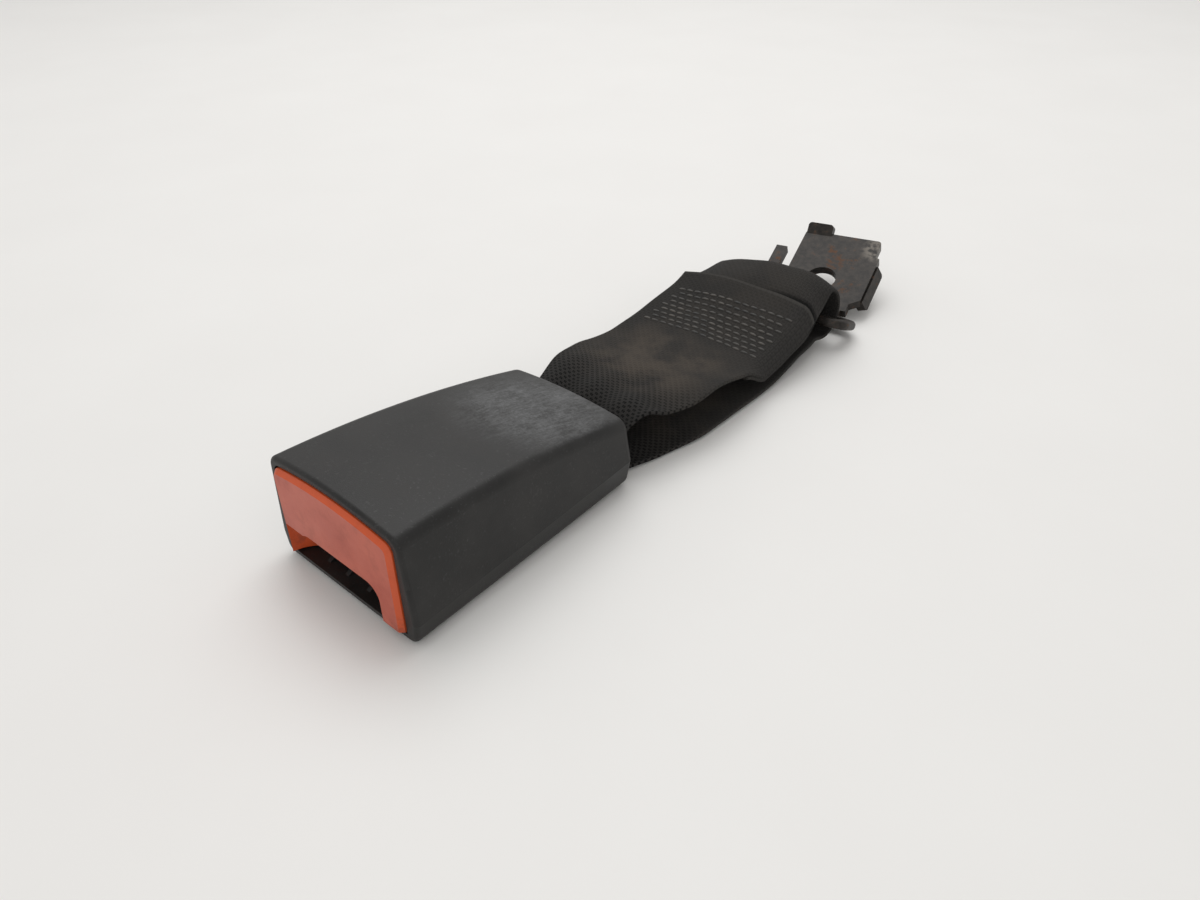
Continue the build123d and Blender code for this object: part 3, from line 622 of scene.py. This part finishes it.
# The last millimetre of the strap before the cut end is made lighter.
lighter_cut_end = cloth_map.part("Y").between(strap_length - 1.3, strap_length - 0.6)
fibre = cloth.noise(cloth.along(cloth_map, (MM, MM * 0.35, 0)), 0.18, 2.0)
dust_lump = cloth.noise(cloth_spot, 14, 4.0, 0.6)
dust_middle = 1 - cloth_map.part("X").maths("ABSOLUTE").between(9.0, 22.0)
dust_place = (cloth_spot.part("Y").between(at_depth(84), at_depth(102))
              * (1 - cloth_spot.part("Y").between(at_depth(116), at_depth(134)) * 0.8))
dust = (dust_lump.between(0.34, 0.62) * 0.75 + 0.1) * (0.3 + dust_middle * 0.7) * dust_place
# Painted shade: the weave's dips are darkened towards black and its ridges and ribs lightened, more so near the
# head.
weave_with_pit_shade = cloth.mix(weave.between(0.2, 0.9), (0.002, 0.002, 0.002), (0.030, 0.0285, 0.027))
dust_and_pit_shade = cloth.mix(dust * (0.35 + weave * 0.5), weave_with_pit_shade, (0.085, 0.070, 0.056))
shaded = cloth.mix(shade * 0.9, dust_and_pit_shade, (0.001, 0.001, 0.001))
cloth.set("Base Color", cloth.mix(lighter_cut_end * 0.7, shaded, (0.055, 0.052, 0.048)))
cloth.bump(weave + fibre * 0.25, 0.35)
webbing.data.materials.append(cloth.material)
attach(webbing, "strap")
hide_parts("webbing")

# %% [markdown]
# The sewn block is nine rows of dashes that run across the strap, each row shifted by half a stitch.
# The rows are first laid on the cloth as curves. A node tree then cuts each curve into stitches and
# puts a short swelling thread on every one, so the stitch length and the thread can be changed
# without touching the rows.

# %% Rows of stitching
stitch_rows = 9
stitch_pitch = 2.8
stitch_length = 2.35
thread_radius = 0.42
stitch_turn = 0.10          # the largest random turn, in radians
stitch_seed = 11
row_first, row_last = 131.5, 149.5
row_slant = 0.13            # the rows run nearly parallel to the cut end
row_half = 19.6
thread_lift = 0.02          # the thread's middle lies this far above the cloth
rail_step = 0.02            # how finely the rails are searched for a depth, in points


def place_along_top(depth):
    """Where on the rails the top layer reaches a depth."""
    start = len(rails[0]) - len(top_rails[0])
    steps = [start + k * rail_step for k in range(int((segments - start) / rail_step))]
    return min(steps, key=lambda p: abs(on_rail(rails[0], p).x - depth))


rows_data = bpy.data.curves.new("stitch_rows", "CURVE")
rows_data.dimensions = "3D"
for row in range(stitch_rows):
    row_depth = row_first + (row_last - row_first) * row / (stitch_rows - 1)
    shift = stitch_pitch / 2 * (row % 2)
    count = int((2 * row_half - shift) / stitch_pitch)
    line = rows_data.splines.new("POLY")
    line.points.add(count - 1)
    for k in range(count):
        side = (-row_half + shift + (k + 0.5) * stitch_pitch) / webbing_half
        along = place_along_top(row_depth + row_slant * side * webbing_half)
        spot = strap_middle(along, side)
        lift = (strap_middle(along + 0.05, side) - spot).cross(strap_middle(along, side + 0.02) - spot)
        if lift.z < 0:
            lift.negate()
        spot = place(*(spot + lift.normalized() * (webbing_sheet / 2 + thread_lift)))
        line.points[k].co = (*spot, 1.0)
print("stitches", sum(len(s.points) for s in rows_data.splines))

# %% [markdown]
# The tree reads the rows, turns them into points that keep their direction, and instances one thread
# on each. A little random turn keeps the block from looking printed.

# %% Stitch tree
def stitch_tree(material):
    """A node tree that puts a short swelling thread on every point of the rows."""
    tree = bpy.data.node_groups.new("stitches", "GeometryNodeTree")
    for direction, kind, name, value in (("INPUT", "Geometry", "Rows", None),
                                         ("INPUT", "Float", "Stitch length", stitch_length * MM),
                                         ("INPUT", "Float", "Thread radius", thread_radius * MM),
                                         ("INPUT", "Float", "Turn", stitch_turn),
                                         ("INPUT", "Int", "Seed", stitch_seed),
                                         ("OUTPUT", "Geometry", "Stitches", None)):
        socket = tree.interface.new_socket(name, in_out=direction, socket_type="NodeSocket" + kind)
        if value is not None:
            socket.default_value = value

    def add(kind, inputs=(), **settings):
        """Adds a node: its settings, then plain values for its inputs."""
        node = tree.nodes.new(kind)
        for name, value in settings.items():
            setattr(node, name, value)
        for key, value in dict(inputs).items():
            node.inputs[key].default_value = value
        return node

    given = add("NodeGroupInput")
    made = add("NodeGroupOutput")
    points = add("GeometryNodeCurveToPoints", mode="EVALUATED")
    ball = add("GeometryNodeMeshUVSphere", {"Segments": 8, "Rings": 7, "Radius": 1.0})
    half = add("ShaderNodeMath", {1: 0.5}, operation="MULTIPLY")
    shape = add("ShaderNodeCombineXYZ")
    stretched = add("GeometryNodeTransform")
    wobble = add("FunctionNodeRandomValue", {2: -1.0, 3: 1.0}, data_type="FLOAT")
    turn_by = add("ShaderNodeMath", operation="MULTIPLY")
    turn_axis = add("ShaderNodeCombineXYZ")
    align = add("FunctionNodeAlignEulerToVector", axis="Z")
    turned = add("FunctionNodeRotateEuler", space="LOCAL")
    placed = add("GeometryNodeInstanceOnPoints")
    real = add("GeometryNodeRealizeInstances")
    soft = add("GeometryNodeSetShadeSmooth")
    paint = add("GeometryNodeSetMaterial", {"Material": material})
    for source, output, target, key in ((given, "Rows", points, "Curve"),
                                        (given, "Stitch length", half, 0),
                                        (given, "Thread radius", shape, "X"),
                                        (given, "Thread radius", shape, "Y"),
                                        (half, 0, shape, "Z"),
                                        (ball, "Mesh", stretched, "Geometry"),
                                        (shape, 0, stretched, "Scale"),
                                        (given, "Seed", wobble, "Seed"),
                                        (wobble, 1, turn_by, 0),
                                        (given, "Turn", turn_by, 1),
                                        (turn_by, 0, turn_axis, "X"),
                                        (points, "Tangent", align, "Vector"),
                                        (align, 0, turned, 0),
                                        (turn_axis, 0, turned, 1),
                                        (points, "Points", placed, "Points"),
                                        (stretched, "Geometry", placed, "Instance"),
                                        (turned, 0, placed, "Rotation"),
                                        (placed, "Instances", real, "Geometry"),
                                        (real, "Geometry", soft, "Geometry"),
                                        (soft, "Geometry", paint, "Geometry"),
                                        (paint, "Geometry", made, "Stitches")):
        tree.links.new(source.outputs[output], target.inputs[key])
    return tree


def grown(name, source, tree):
    """The plain mesh that a node tree makes of an object."""
    modifier = source.modifiers.new(name, "NODES")
    modifier.node_group = tree
    depsgraph = bpy.context.evaluated_depsgraph_get()
    data = bpy.data.meshes.new_from_object(source.evaluated_get(depsgraph))
    data.name = name
    piece = bpy.data.objects.new(name, data)
    bpy.context.scene.collection.objects.link(piece)
    return piece


# %% Sew the block
thread = Finish("thread_black", Roughness=0.6)
thread_spot = thread.here()
thread_drift = thread.noise(thread_spot, 6, 3.0)
thread.set("Base Color", thread.mix(thread_drift.between(0.35, 0.7), (0.040, 0.039, 0.038), (0.095, 0.086, 0.076)))
thread.bump(thread.noise(thread_spot, 0.25, 2.0), 0.05)

rows_object = bpy.data.objects.new("stitch_rows", rows_data)
bpy.context.scene.collection.objects.link(rows_object)
stitches = grown("sewn_block", rows_object, stitch_tree(thread.material))
bpy.data.objects.remove(rows_object)
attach(stitches, "strap")
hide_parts("stitching")
print("stitch faces", len(stitches.data.polygons))

# %% [markdown]
# The buckle lies on a plain pale surface. It is only a stage, and the part can be lifted off it.

# %% Floor
floor_half = 2.0            # in metres
floor_gap = 0.1             # below the lowest point of the part
floor_finish = Finish("floor_pale", Roughness=0.55)
floor_spot = floor_finish.here()
floor_drift = floor_finish.noise(floor_spot, 60, 4.0)
floor_finish.set("Base Color", floor_finish.mix(floor_drift, (0.80, 0.79, 0.772), (0.84, 0.832, 0.815)))
floor_data = bpy.data.meshes.new("floor")
floor_level = min(corner.z for corner in cad_box) - floor_gap * MM
floor_data.from_pydata([(x * floor_half, y * floor_half, floor_level)
                        for x, y in ((-1, -1), (1, -1), (1, 1), (-1, 1))], [], [(0, 1, 2, 3)])
floor = bpy.data.objects.new("floor", floor_data)
floor_data.materials.append(floor_finish.material)
bpy.context.scene.collection.objects.link(floor)
